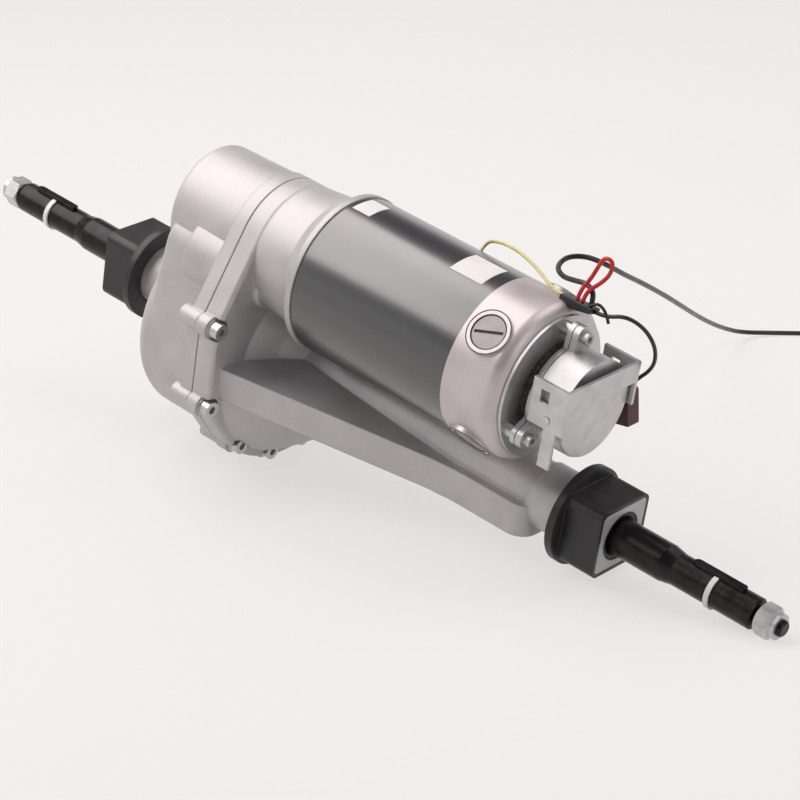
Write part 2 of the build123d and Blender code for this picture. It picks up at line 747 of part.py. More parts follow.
def cluster_gear():
    sketch = spur(cluster_teeth, motor_pinion_teeth, cluster_module, wheel_addendum, pinion_addendum,
                  to_motor, cluster)
    body = slab(sketch, cluster_left_x, cluster_right_x)
    hub = pipe(cluster_right_x, ring_left_x - pinion_over, cluster_shaft_radius + 3.0, cluster_shaft_radius,
               cluster)
    body = body + hub - rod(cluster_left_x - 1, cluster_right_x + 1, cluster_shaft_radius, cluster)
    return one(body)


rotor_radius = can_radius - can_wall - magnet_thick - air_gap
stack_middle_x = (can_left_x + can_right_x) / 2 - 3.0
stack_left_x = stack_middle_x - stack_length / 2
stack_right_x = stack_middle_x + stack_length / 2
commutator_x = brush_x - commutator_length / 2
bell_bearing_x = bell_right_x - bell_face - bell_bearing[1] + 3.0
plate_x = bell_right_x
disc_x = plate_x + brake_plate_thick + brake_disc_gap
armature_x = disc_x + brake_disc_thick + brake_disc_gap
field_x = armature_x + armature_thick + armature_lift + 0.2
field_end_x = field_x + field_length
cover_end_x = field_end_x + cover_thick


def rotor_shaft():
    """Motor shaft with its pinion cut on the left end and a square hub seat on the right."""
    gap_turn = to_motor + 180.0 + 180.0 / motor_pinion_teeth
    sketch = spur(motor_pinion_teeth, cluster_teeth, cluster_module, pinion_addendum, wheel_addendum,
                  gap_turn, motor)
    body = slab(sketch, cluster_left_x - pinion_over, cluster_right_x + pinion_over)
    body += rod(pinion_bearing_x, cluster_left_x, pinion_neck_radius, motor)
    body += rod(cluster_right_x, motor_bearing_x - 3.0, pinion_shaft_radius, motor)
    body += rod(motor_bearing_x - 3.0, disc_x + brake_disc_thick, motor_shaft_radius, motor)
    return one(body)


def rotor_stack():
    """Laminated core with open slots for the winding."""
    core = Circle(rotor_radius)
    for i in range(slot_count):
        slot = Pos(rotor_radius - slot_depth / 2, 0) * Rectangle(slot_depth + 1, slot_width)
        core -= Rot(0, 0, 360 * i / slot_count) * slot
    core -= Circle(motor_shaft_radius)
    return one(slab(Pos(*motor) * core, stack_left_x, stack_right_x))


def rotor_windings():
    """Wound ends at each side of the core."""
    reach = rotor_radius - 2.0
    inner = motor_shaft_radius + 3.0
    pieces = []
    for start, out in ((stack_left_x, -1), (stack_right_x, 1)):
        end = start + out * winding_length
        pieces.append(turned([(start, inner), (start, reach), (end - out * 4.0, reach), (end, reach - 6.0),
                              (end, inner)], motor))
    return Compound(children=pieces)


def commutator():
    ring = Circle(commutator_radius) - Circle(motor_shaft_radius)
    for i in range(commutator_bars):
        ring -= Rot(0, 0, 360 * i / commutator_bars) * Pos(commutator_radius, 0) * Rectangle(2.0, 0.7)
    return slab(Pos(*motor) * ring, commutator_x, commutator_x + commutator_length)


def motor_can():
    return pipe(can_left_x, can_right_x, can_radius, can_radius - can_wall, motor)


def motor_magnets():
    outer = can_radius - can_wall
    inner = outer - magnet_thick
    pieces = []
    for middle in (0.0, 180.0):
        half = magnet_arc / 2
        low, high = middle - half, middle + half
        edges = [CenterArc((0, 0), outer, low, magnet_arc), CenterArc((0, 0), inner, low, magnet_arc),
                 Line(polar(inner, low), polar(outer, low)), Line(polar(inner, high), polar(outer, high))]
        face = Pos(*motor) * make_face(edges)
        pieces.append(slab(face, stack_left_x - 3.0, stack_right_x + 3.0))
    return Compound(children=pieces)


def radial(angle, x):
    """A frame on the motor's axis at x, whose Z points out along the given angle."""
    return Location(Plane(origin=(x, motor[0], motor[1]), x_dir=(1, 0, 0),
                          z_dir=(0, cos(radians(angle)), sin(radians(angle)))))


def post(radius, low, high):
    return Pos(0, 0, low) * Cylinder(radius, high - low, align=(Align.CENTER, Align.CENTER, Align.MIN))


def end_bell():
    """Cast end of the motor with a rounded rim, four brush bosses and a face that carries the brake."""
    outer = rod(can_right_x, bell_right_x, can_radius, motor)
    outer = fillet(outer.edges().group_by(Axis.X)[-1], bell_round)
    for angle in brush_angles:
        boss = post(brush_boss_radius, can_radius - 6.0, can_radius + brush_boss_proud)
        outer += radial(angle, brush_x) * boss
    body = outer - rod(can_right_x, bell_right_x - bell_face, can_radius - bell_wall, motor)
    body += pipe(bell_bearing_x - 1.0, bell_right_x - bell_face, bell_bearing[0] + spigot_wall,
                 bell_bearing[0], motor)
    can_bore = can_radius - can_wall
    body += pipe(can_right_x - can_spigot, can_right_x, can_bore, can_bore - spigot_wall, motor)
    body -= rod(bell_bearing_x, bell_bearing_x + bell_bearing[1], bell_bearing[0], motor)
    body -= rod(can_right_x, bell_right_x + 1, motor_shaft_radius + 2.0, motor)
    for angle in brush_angles:
        body -= radial(angle, brush_x) * post(brush_cap_radius, 30.0, can_radius + 5.0)
    for place in brake_screw_places():
        body -= rod(bell_right_x - bell_face - 1, bell_right_x + 1, brake_screw_radius, place)
    body -= lead_boot()
    return one(body)


def brush_caps():
    pieces = []
    for angle in brush_angles:
        top = can_radius + brush_boss_proud - brush_cap_sunk
        body = post(brush_cap_radius, top - brush_cap_thick, top)
        body -= Pos(0, 0, top) * Rot(0, 0, 20) * Box(2 * brush_cap_radius - 3.0, cap_slot, 2.4)
        pieces.append(radial(angle, brush_x) * body)
    return Compound(children=pieces)


def brush_holders():
    low = commutator_radius + 3.0
    high = can_radius + brush_boss_proud - brush_cap_sunk - brush_cap_thick
    pieces = []
    for angle in brush_angles:
        body = Box(brush_side + 3, brush_side + 3, high - low, align=(Align.CENTER, Align.CENTER, Align.MIN))
        body -= Box(brush_side, brush_side, high - low, align=(Align.CENTER, Align.CENTER, Align.MIN))
        foot = post(brush_cap_radius, high - low - 3.0, high - low)
        foot -= Box(brush_side, brush_side, 200)
        pieces.append(radial(angle, brush_x) * Pos(0, 0, low) * (body + foot))
    return Compound(children=pieces)


def brushes():
    low = commutator_radius + 0.3
    pieces = []
    for angle in brush_angles:
        body = Box(brush_side, brush_side, brush_length, align=(Align.CENTER, Align.CENTER, Align.MIN))
        pieces.append(radial(angle, brush_x) * Pos(0, 0, low) * body)
    return Compound(children=pieces)


def brake_screw_places():
    return [polar(brake_screw_reach, angle, motor) for angle in brake_screw_angles]


def eared(radius, x0, x1, hole):
    """A disc about the motor's axis with an ear round each brake screw."""
    sketch = Pos(*motor) * Circle(radius)
    for place in brake_screw_places():
        sketch += make_hull([(Pos(*place) * Circle(brake_ear_radius)).edge(),
                             (Pos(*motor) * Circle(ear_root_radius)).edge()])
    body = slab(sketch, x0, x1)
    for place in brake_screw_places():
        body -= rod(x0, x1, hole, place)
    return body


def brake_plate():
    body = rod(plate_x, plate_x + brake_plate_thick, brake_plate_radius, motor)
    body -= rod(plate_x, plate_x + brake_plate_thick, brake_hub_radius, motor)
    for place in brake_screw_places():
        body -= rod(plate_x, plate_x + brake_plate_thick, brake_screw_radius, place)
    return one(body)


def brake_disc():
    """Friction disc that turns with the motor shaft between the plate and the armature."""
    return pipe(disc_x, disc_x + brake_disc_thick, brake_disc_radius, brake_hub_radius, motor)


def brake_hub():
    return pipe(disc_x, disc_x + brake_disc_thick, brake_hub_radius, motor_shaft_radius, motor)


def brake_armature():
    body = eared(armature_radius, armature_x, armature_x + armature_thick, brake_sleeve_radius + 0.3)
    body -= rod(armature_x, armature_x + armature_thick, motor_shaft_radius + 4.0, motor)
    return one(body)


def brake_field():
    """Steel body of the magnet: a flange with three ears, a round pot and pins for the lever."""
    body = eared(field_radius, field_x, field_x + field_flange, brake_screw_radius)
    body += rod(field_x, field_end_x, field_radius, motor)
    body -= pipe(field_x, field_x + coil_depth, coil_outer, coil_inner, motor)
    body -= rod(field_x, field_end_x, motor_shaft_radius + 2.0, motor)
    pin_x = field_end_x - lever_pin_x_gap
    reach = field_radius + lever_gap + lever_thick + 0.6
    pin = Pos(pin_x, motor[0], motor[1]) * Rot(90, 0, 0) * Cylinder(lever_pin_radius, 2 * reach)
    body += pin - rod(field_x, field_end_x, field_radius - 2.0, motor)
    return one(body)


def brake_coil():
    return pipe(field_x + 0.3, field_x + coil_depth, coil_outer, coil_inner, motor)


def brake_cover():
    """Flat end disc, cut straight above its middle where the lever's bar passes."""
    disc = Circle(field_radius - 0.8)
    cut = Pos(0, lever_bar_low - 1.0) * Rectangle(4 * field_radius, 4 * field_radius,
                                                  align=(Align.CENTER, Align.MIN))
    return slab(Pos(*motor) * (disc - cut), field_end_x, cover_end_x)


def brake_screws():
    """Long screws through the magnet's ears, each with a spacer sleeve down to the plate."""
    end_x = field_x + field_flange
    tip_x = bell_right_x - bell_face
    pieces = []
    for place in brake_screw_places():
        body = rod(tip_x, end_x, brake_screw_radius, place)
        body += rod(end_x, end_x + brake_head_height, brake_head_radius, place)
        body -= slab(Pos(*place) * RegularPolygon(1.8, 6), end_x + 1.6, end_x + brake_head_height)
        sleeve = pipe(plate_x + brake_plate_thick, field_x, brake_sleeve_radius, brake_screw_radius, place)
        pieces += [body, sleeve]
    return Compound(children=pieces)


def release_lever():
    """Bent steel yoke: an arm on each side of the magnet, a bar across its end and a hand tab."""
    inner = field_radius + lever_gap
    outer = inner + lever_thick
    pin_x = field_end_x - lever_pin_x_gap
    bar_x = cover_end_x + 1.0
    arm_start = armature_x + armature_thick + 1.0
    arm_middle = (arm_start + bar_x + lever_thick) / 2
    arm_length = bar_x + lever_thick - arm_start
    top = lever_bar_low + lever_bar_height
    low = -lever_arm_height / 2
    across = (inner + outer) / 2
    arm = Pos(arm_middle, 0, (low + top) / 2) * Box(arm_length, lever_thick, top - low)
    arm -= Pos(arm_start + 9.0, 0, top / 2 + 2.0) * Box(6.0, 3 * lever_thick, 8.0)
    bar_place = Pos(bar_x + lever_thick / 2, 0, (lever_bar_low + top) / 2)
    body = bar_place * Box(lever_thick, 2 * outer, lever_bar_height)
    body += Pos(0, -across, 0) * arm
    body += Pos(0, across, 0) * arm
    tab = Box(lever_tab_width, lever_thick, lever_tab_length - lever_arm_height,
              align=(Align.MAX, Align.CENTER, Align.MAX))
    body += Pos(field_end_x, -across, low) * tab
    body -= Pos(pin_x, 0, 0) * Rot(90, 0, 0) * Cylinder(lever_pin_radius + running_gap, 4 * outer)
    return one(Pos(0, motor[0], motor[1]) * body)


def on_boot(x, across, height):
    """A point by the boot: along the motor, across the boot towards the back, and out from the axis."""
    y, z = polar(height, boot_angle, motor)
    return x, y + across * sin(radians(boot_angle)), z - across * cos(radians(boot_angle))


def on_can(x, height):
    """A point over the can where the cream wire goes in."""
    y, z = polar(can_radius + height, cream_entry_angle, motor)
    return x, y, z


# Routes of the leads. Each starts square on a face of the boot
cable_route = [
    on_boot(146.5, 1.6, boot_top), on_boot(146.5, 1.6, boot_top + 6.0), (139.5, 7.8, 130.5),
    (129.5, 9.5, 127.5), (118.0, 13.5, 123.5), (108.5, 20.0, 123.5), (108.5, 28.0, 127.5),
    (117.0, 35.0, 129.5), (125.0, 45.0, 124.5), (124.0, 64.0, 112.5), (117.5, 94.0, 95.0),
    (107.0, 136.0, 69.5), (92.5, 183.0, 40.0), (75.0, 231.0, 10.0), (59.0, 276.5, -17.5),
    (49.0, 311.0, -37.0), (47.0, 336.0, -49.0), (60.0, 356.5, -49.8), (84.0, 376.5, -45.6),
    (109.0, 389.0, -41.2)]
brake_route = [
    on_boot(boot_right_x, 0.6, boot_top - 2.1), on_boot(158.0, 0.6, boot_top - 2.1), (169.0, 5.0, 125.0),
    (179.5, 9.0, 121.5), (185.0, 14.5, 111.5), (183.5, 21.0, 98.5), (177.5, 26.0, 87.5),
    (169.7, 28.5, 78.4), (165.4, 28.5, 71.6)]
red_route = [
    on_boot(139.0, -1.6, boot_top), on_boot(139.0, -1.6, boot_top + 6.0), (143.5, 3.5, 136.5),
    (147.5, 3.0, 147.0), (150.0, 3.3, 153.0), (155.5, 4.0, 152.5), (155.5, 3.8, 145.0), (150.0, 4.0, 136.5),
    on_boot(142.4, -1.2, boot_top + 6.5), on_boot(142.4, -1.2, boot_top)]
cream_route = [
    on_boot(boot_left_x, 0.5, boot_top - 1.8), on_boot(121.0, 0.5, boot_top - 1.8), (107.0, 7.0, 124.0),
    (92.0, 11.0, 126.0), (78.0, 16.0, 124.0), (66.0, 21.0, 120.0), on_can(56.0, 7.0), on_can(56.0, 0.0)]


def lead_boot():
    """Moulded rubber exit set in the bell's rim, which reaches out over the brake."""
    profile = Polyline((boot_left_x, boot_low), (boot_left_x, boot_top), (boot_right_x, boot_top),
                       (boot_right_x, boot_top - boot_end_height), (bell_right_x + 0.5, boot_low), close=True)
    body = extrude(make_face(Plane.XZ * profile), amount=boot_half_width, both=True)
    body = fillet(body.faces().sort_by(Axis.Z)[-1].edges(), boot_round)
    turn = Rot(boot_angle - 90.0, 0, 0)
    return Pos(0, motor[0], motor[1]) * turn * body


def arc_radii(route):
    """Radius of the arc at each corner of a lead's route, from its shorter run and its turn."""
    points = [Vector(*point) for point in route]
    radii = []
    for before, corner, after in zip(points, points[1:], points[2:]):
        arrive = corner - before
        leave = after - corner
        shorter = min(arrive.length, leave.length)
        radii.append(arc_share * shorter / tan(radians(arrive.get_angle(leave)) / 2))
    return radii


def tube(route, radius):
    """A lead along its route: straight runs joined by tangent arcs."""
    radii = arc_radii(route)
    path = FilletPolyline(*route, radius=radii)
    section = Plane(origin=path @ 0, z_dir=path % 0) * Circle(radius)
    body = sweep(section, path)
    print("lead radii", [round(value, 1) for value in radii], "length", round(path.length, 1),
          "volume against section times length", round(body.volume / (pi * radius**2 * path.length), 4))
    return body


def coil_frame():
    """The cable coil's frame on the surface the unit rests on: X along the cable where it comes in."""
    end = Vector(*cable_route[-1])
    along = (end - Vector(*cable_route[-2])).normalized()
    up = Vector(-sin(radians(rest_tilt)), 0, cos(radians(rest_tilt)))
    up = (up - along * up.dot(along)).normalized()
    right = along.cross(up)
    centre = end + along * coil_lead_in + right * coil_radius - up * cable_radius
    return Plane(origin=centre, x_dir=along, z_dir=up)


def coil_exit():
    """Where the cable leaves the coil, in the coil's frame: a place on its mean circle and a heading."""
    turn = radians(coil_exit_turn)
    place = Vector(coil_radius * sin(turn), coil_radius * cos(turn), cable_radius)
    heading = Vector(cos(turn), -sin(turn), 0)
    return place, heading


def cable_coil():
    """The outer shape of the coiled cable, with a straight stretch where it comes in and goes out."""
    section = Pos(coil_radius, coil_height / 2) * RectangleRounded(coil_width, coil_height, cable_radius)
    body = revolve(Plane.XZ * section, Axis.Z)
    start = Vector(-coil_lead_in, coil_radius, cable_radius)
    place, heading = coil_exit()
    for origin, along, reach in ((start, Vector(1, 0, 0), coil_lead_in), (place, heading, coil_lead_out)):
        body += extrude(Plane(origin=origin, z_dir=along) * Circle(cable_radius), amount=reach)
    return coil_frame() * body


def cable_plug():
    """Connector at the cable's end, with two flat blades."""
    place, heading = coil_exit()
    start = place + heading * coil_lead_out
    body = Box(plug_length, plug_width, plug_height, align=(Align.MIN, Align.CENTER, Align.MIN))
    body = fillet(body.edges().filter_by(Axis.Z), 1.5)
    for side in (-1, 1):
        blade = Box(plug_blade_length, plug_blade_thick, plug_blade_width,
                    align=(Align.MIN, Align.CENTER, Align.CENTER))
        body += Pos(plug_length, side * plug_width / 4, plug_height / 2) * blade
    return coil_frame() * Pos(start.X, start.Y, 0) * Rot(0, 0, -coil_exit_turn) * body


def brake_plug():
    """Two-way connector of the brake, hung behind it, with a corner cut where the lead goes in."""
    wide, tall, cut = brake_plug_width, brake_plug_length, brake_plug_cut
    profile = Polyline((-wide / 2, 0), (wide / 2 - cut, 0), (wide / 2, -cut), (wide / 2, -tall),
                       (-wide / 2, -tall), close=True)
    body = extrude(make_face(Plane.XZ * profile), amount=brake_plug_thick / 2, both=True)
    ridge = Box(3.0, 1.6, tall * 0.45, align=(Align.CENTER, Align.MIN, Align.MAX))
    body += Pos(0, brake_plug_thick / 2, -2.0) * ridge
    return Pos(*brake_plug_top) * Rot(0, brake_plug_lean, 0) * body


def brake_pigtail():
    """Short lead from the brake's magnet, below the lever's arm, to the brown connector."""
    y1 = brake_plug_top[1] - brake_plug_thick / 2
    body = Pos(pigtail_x, y1, motor[1] - pigtail_drop) * Rot(90, 0, 0) * Cylinder(
        brake_lead_radius, y1 - motor[0], align=(Align.CENTER, Align.CENTER, Align.MIN))
    return one(body - rod(field_x, field_end_x, field_radius, motor))


def bearings_of(places):
    return Compound(children=[ball_bearing(*place) for place in places])


def main():
    os.makedirs("parts", exist_ok=True)
    nodes = {
        "gearbox_cover": gearbox_cover(),
        "gearbox_housing": gearbox_housing(),
        "gasket": gasket(),
        "housing_bolts": housing_bolts(),
        "motor_can": motor_can(),
        "motor_magnets": motor_magnets(),
        "end_bell": end_bell(),
        "brush_caps": brush_caps(),
        "brush_holders": brush_holders(),
        "brushes": brushes(),
        "carrier_bearings": bearings_of([(carrier_left_x, carrier_bearing, journal_radius),
                                         (carrier_right_x, carrier_bearing, journal_radius)]),
        "cluster_bearings": bearings_of([
            (cluster_bearing_left_x, cluster_bearing, cluster_shaft_radius, cluster),
            (cluster_bearing_right_x, cluster_bearing, cluster_shaft_radius, cluster)]),
        "pinion_bearing": ball_bearing(pinion_bearing_x, pinion_bearing, pinion_neck_radius, motor),
        "drive_end_bearing": ball_bearing(motor_bearing_x, motor_bearing, motor_shaft_radius, motor),
        "brush_end_bearing": ball_bearing(bell_bearing_x, bell_bearing, motor_shaft_radius, motor),
        "brake_plate": brake_plate(),
        "brake_field": brake_field(),
        "brake_coil": brake_coil(),
        "brake_cover": brake_cover(),
        "brake_screws": brake_screws(),
        "brake_armature": brake_armature(),
        "release_lever": release_lever(),
        "brake_disc": brake_disc(),
        "brake_hub": brake_hub(),
        "rotor_shaft": rotor_shaft(),
        "rotor_stack": rotor_stack(),
        "rotor_windings": rotor_windings(),
        "commutator": commutator(),
        "cluster_pinion": cluster_pinion(),
        "cluster_gear": cluster_gear(),
        "differential_case": differential_case(),
        "ring_gear": ring_gear(),
        "ring_screws": ring_screws(),
        "cross_pin": cross_pin(),
        "spider_gear_upper": spider_gear(1),
        "spider_gear_lower": spider_gear(-1),
        "axle_bushes": axle_bushes(),
        "axle_seals": axle_seals(),
        "lead_boot": lead_boot(),
        "black_cable": tube(cable_route, cable_radius),
        "cable_coil": cable_coil(),
        "cable_plug": cable_plug(),
        "brake_lead": tube(brake_route, brake_lead_radius),
        "brake_plug": brake_plug(),
        "brake_pigtail": brake_pigtail(),
        "red_wire": tube(red_route, red_wire_radius),
        "cream_wire": tube(cream_route, cream_wire_radius),
    }
    for name, side in (("left", -1), ("right", 1)):
        nodes[name + "_block_rubber"] = block_rubber(side)
        nodes[name + "_shaft"] = axle_shaft(side)
        nodes[name + "_side_gear"] = side_gear(side)
        nodes[name + "_key"] = key_box(side)
        nodes[name + "_band"] = axle_band(side)
        nodes[name + "_nut"] = axle_nut(side)
    for name, shape in nodes.items():
        export_step(shape, "parts/" + name + ".step")


main()
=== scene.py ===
"""Looks of the electric drive unit, built round its solids. Metres, in the solids' own frame."""
import json
import math

import bmesh
import bpy
from mathutils import Matrix, Vector


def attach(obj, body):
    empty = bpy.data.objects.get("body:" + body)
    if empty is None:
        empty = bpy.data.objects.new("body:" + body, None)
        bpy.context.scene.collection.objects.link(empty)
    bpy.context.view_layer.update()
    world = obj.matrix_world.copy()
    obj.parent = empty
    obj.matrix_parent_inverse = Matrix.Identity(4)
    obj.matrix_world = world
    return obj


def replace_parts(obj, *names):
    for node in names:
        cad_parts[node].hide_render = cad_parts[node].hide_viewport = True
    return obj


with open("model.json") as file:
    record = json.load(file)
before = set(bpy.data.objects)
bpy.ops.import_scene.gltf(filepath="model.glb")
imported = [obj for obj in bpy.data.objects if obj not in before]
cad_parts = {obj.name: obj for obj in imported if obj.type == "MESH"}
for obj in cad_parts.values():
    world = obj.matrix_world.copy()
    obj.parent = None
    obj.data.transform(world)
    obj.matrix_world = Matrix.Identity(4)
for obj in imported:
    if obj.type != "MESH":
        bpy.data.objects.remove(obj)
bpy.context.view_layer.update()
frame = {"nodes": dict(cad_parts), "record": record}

MM = 0.001

# Sizes that the solids have too, in metres
motor_y = -0.011576
motor_z = 0.073089
can_radius = 0.048
cluster_y = -0.03239
cluster_z = 0.0575
brush_x = 0.118
brush_angles = (45, 135, 225, 315)
cap_face = 0.0486             # of each brush cap, from the motor's axis
rest_tilt = math.radians(9.96)
floor_x = -0.0557
floor_z = -0.0716
cable_radius = 0.0015
brake_lead_radius = 0.00115
red_wire_radius = 0.0012
cream_wire_radius = 0.001
boot_angle = math.radians(74)
coil_radius = 0.027
coil_lead_in = 0.024
coil_exit_turn = math.radians(60)

# Smoothness of the leads: steps round a quarter of their section, and along each part of their line
lead_section_steps = 5
lead_line_steps = 10

# Sizes that only the scene has, in metres and degrees
coil_way_in = 0.008
coil_way_out = ((0.010, 1.5), (0.018, 1.0), (0.024, 0.55), (0.030, 0.5))    # metres along, diameters up
can_labels = ((-0.009, 0.004, 79, 100), (0.070, 0.093, 80, 107))    # ends along X, and angles round the motor
label_thick = 0.0002
label_steps = 24
cluster_wall_x = (-0.0995, -0.072)
cluster_wall_radii = (0.0232, 0.0262)
cluster_wall_angles = (118, 208)
cluster_wall_steps = 32
wall_round = 0.0022
wall_round_steps = 4
# Painted shade round each brush cap: dark rings in the gap round it and round its boss, and a dark fill sunk
# in its slot
cap_painted_shade = ((0.0104, 0.0005, 0), (0.0131, 0.0003, 0.0004))    # reach, half thickness, height over the cap
cap_ring_sides = 10
cap_ring_steps = 48
cap_slot_painted_shade = (0.0166, 0.0016, 0.0004)
cap_slot_turn = math.radians(20)
cap_slot_depth = 0.0009
spare_tail_radius = 0.0009
weld_distance = 0.00001

# Floor: pale paper, and its own share of what is seen of it
floor_reach = 9.0
floor_sides = 96
floor_paper = "#d0cecd"
floor_seen = "#fffdfb"
floor_own_light = 0.64

# Room: its wall and its ceiling, at their heights in the unit view vector
wall_colour = "#f5f3f2"
wall_top = 0.1
ceiling_colour = "#75737a"
ceiling = 0.32

# Camera, at the photograph's viewing angle
camera_place = (0.94325, -1.19122, 0.86398)
camera_azimuth = math.radians(37.463)
camera_elevation = math.radians(29.755)
camera_roll = math.radians(8.881)
camera_lens = 133.603
camera_clip = 20


def add_camera():
    """The camera, turned by its azimuth and elevation and then rolled about its own axis."""
    back = Vector((math.sin(camera_azimuth) * math.cos(camera_elevation),
                   -math.cos(camera_azimuth) * math.cos(camera_elevation), math.sin(camera_elevation)))
    level = Vector((math.cos(camera_azimuth), math.sin(camera_azimuth), 0))
    upright = back.cross(level)
    right = level * math.cos(camera_roll) + upright * math.sin(camera_roll)
    up = upright * math.cos(camera_roll) - level * math.sin(camera_roll)
    turn = Matrix((right, up, back)).transposed().to_4x4()
    data = bpy.data.cameras.new("camera")
    data.lens = camera_lens
    data.clip_end = camera_clip
    camera = bpy.data.objects.new("camera", data)
    camera.matrix_world = Matrix.Translation(camera_place) @ turn
    bpy.context.collection.objects.link(camera)
    bpy.context.scene.camera = camera


def on_motor(x, reach, angle, across=0.0):
    """A point by the motor: along it, out from its axis at an angle from +Y towards +Z, and across that."""
    y = motor_y + reach * math.cos(angle) + across * math.sin(angle)
    z = motor_z + reach * math.sin(angle) - across * math.cos(angle)
    return (x, y, z)


def on_boot(x, across, height):
    """The same by the lead boot, in millimetres."""
    return on_motor(x * MM, height * MM, boot_angle, across * MM)


def mm(*point):
    """A point given in millimetres."""
    return tuple(value * MM for value in point)


def link(name, data):
    """Puts new data in the scene as an object."""
    piece = bpy.data.objects.new(name, data)
    bpy.context.collection.objects.link(piece)
    return piece


def lead(name, points, radius, body="housing"):
    """A round lead as one smooth curve with the points of its route. Its radius is its points', since Blender
    widens a curve's box by that and not by the bevel."""
    curve = bpy.data.curves.new(name, "CURVE")
    curve.dimensions = "3D"
    curve.bevel_depth = 1.0
    curve.bevel_resolution = lead_section_steps
    curve.resolution_u = lead_line_steps
    curve.use_fill_caps = True
    spline = curve.splines.new("NURBS")
    spline.points.add(len(points) - 1)
    for control, point in zip(spline.points, points):
        control.co = (*point, 1)
        control.radius = radius
    spline.order_u = 3
    spline.use_endpoint_u = True
    piece = link(name, curve)
    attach(piece, body)
    return piece


def curve_length(piece):
    """Length of a lead's line, measured without its thickness."""
    bevel = piece.data.bevel_depth
    piece.data.bevel_depth = 0
    mesh = bpy.data.meshes.new_from_object(piece)
    piece.data.bevel_depth = bevel
    points = [vertex.co.copy() for vertex in mesh.vertices]
    bpy.data.meshes.remove(mesh)
    return sum((after - before).length for before, after in zip(points, points[1:]))


# Routes of the leads, through the same points as the solids' routes
cable_run = [
    on_boot(146.5, 1.6, 51), on_boot(146.5, 1.6, 57), mm(139.5, 7.8, 130.5), mm(129.5, 9.5, 127.5),
    mm(118, 13.5, 123.5), mm(108.5, 20, 123.5), mm(108.5, 28, 127.5), mm(117, 35, 129.5), mm(125, 45, 124.5),
    mm(124, 64, 112.5), mm(117.5, 94, 95), mm(107, 136, 69.5), mm(92.5, 183, 40), mm(75, 231, 10),
    mm(59, 276.5, -17.5), mm(49, 311, -37), mm(47, 336, -49), mm(60, 356.5, -49.8), mm(84, 376.5, -45.6),
    mm(109, 389, -41.2)]
brake_run = [
    on_boot(151, 0.6, 48.9), on_boot(158, 0.6, 48.9), mm(169, 5, 125), mm(179.5, 9, 121.5),
    mm(185, 14.5, 111.5), mm(183.5, 21, 98.5), mm(177.5, 26, 87.5), mm(169.7, 28.5, 78.4),
    mm(165.4, 28.5, 71.6)]
red_run = [
    on_boot(139, -1.6, 51), on_boot(139, -1.6, 57), mm(143.5, 3.5, 136.5), mm(147.5, 3, 147),
    mm(150, 3.3, 153), mm(155.5, 4, 152.5), mm(155.5, 3.8, 145), mm(150, 4, 136.5),
    on_boot(142.4, -1.2, 57.5), on_boot(142.4, -1.2, 51)]
cream_run = [
    on_boot(129.5, 0.5, 49.2), on_boot(121, 0.5, 49.2), mm(107, 7, 124), mm(92, 11, 126), mm(78, 16, 124),
    mm(66, 21, 120), on_motor(0.056, can_radius + 0.007, math.radians(50)),
    on_motor(0.056, can_radius, math.radians(50))]

# The stub's route, which the solids don't have
spare_tail = [
    on_boot(147.5, -1.5, 50.5), on_boot(150, -1.2, 53.5), on_boot(154, -0.6, 54), on_boot(158.5, 0, 51),
    on_boot(161.5, 0.4, 46.5)]


def coil_frame():
    """The coil's own frame on the floor: X along the cable where it comes in, Z up from the floor."""
    end = Vector(cable_run[-1])
    along = (end - Vector(cable_run[-2])).normalized()
    up = Vector((-math.sin(rest_tilt), 0, math.cos(rest_tilt)))
    up = (up - along * up.dot(along)).normalized()
    right = along.cross(up)
    centre = end + along * coil_lead_in + right * coil_radius - up * cable_radius
    return Matrix((along, -right, up)).transposed().to_4x4(), centre


# The coil, in diameters of the cable: two flat turns wound inward on the floor, a climb, and two turns
# outward on top of them
coil_start = 9.0
coil_inner = 7.0
coil_low = 0.5
coil_high = 1.5
coil_climb = 1 / 6            # of a turn
points_per_turn = 16


def coil_points():
    """The cable's turns in the coil, as more points of its own line."""
    turn, centre = coil_frame()
    points = []
    low_turns = coil_start - coil_inner
    last = 2 * low_turns + coil_climb
    steps = round(last * points_per_turn)
    for step in range(1, steps + 1):
        place = last * step / steps
        if place <= low_turns:
            radius, height = coil_start - place, coil_low
        else:
            risen = min(1, (place - low_turns) / coil_climb)
            radius = coil_inner + max(0, place - low_turns - coil_climb)
            height = coil_low + (coil_high - coil_low) * risen
        angle = math.pi / 2 - 2 * math.pi * place
        point = Vector((radius * math.cos(angle), radius * math.sin(angle), height)) * 2 * cable_radius
        points.append(tuple(centre + turn.to_3x3() @ point))
    return points


def add(tree, kind, settings=None, links=None):
    """Adds a node, sets its properties and sockets, and links sockets to it."""
    node = tree.nodes.new(kind)
    for name, value in (settings or {}).items():
        if isinstance(name, str) and hasattr(node, name):
            setattr(node, name, value)
        else:
            node.inputs[name].default_value = value
    for name, source in (links or {}).items():
        tree.links.new(source, node.inputs[name])
    return node


def linear(colour):
    """An sRGB hex value as linear light."""
    parts = [int(colour[i:i + 2], 16) / 255 for i in (1, 3, 5)]
    return tuple(c / 12.92 if c <= 0.04045 else ((c + 0.055) / 1.055) ** 2.4 for c in parts) + (1,)


def per_metre(size_mm):
    """Scale of a pattern whose features are that many millimetres wide."""
    return 1000 / size_mm


def ramp(tree, value, stops):
    """Colours spread over a pattern's value."""
    node = add(tree, "ShaderNodeValToRGB", links={"Fac": value})
    node.color_ramp.elements[0].position = stops[0][0]
    node.color_ramp.elements[0].color = linear(stops[0][1])
    node.color_ramp.elements[1].position = stops[-1][0]
    node.color_ramp.elements[1].color = linear(stops[-1][1])
    for place, colour in stops[1:-1]:
        node.color_ramp.elements.new(place).color = linear(colour)
    return node.outputs["Color"]


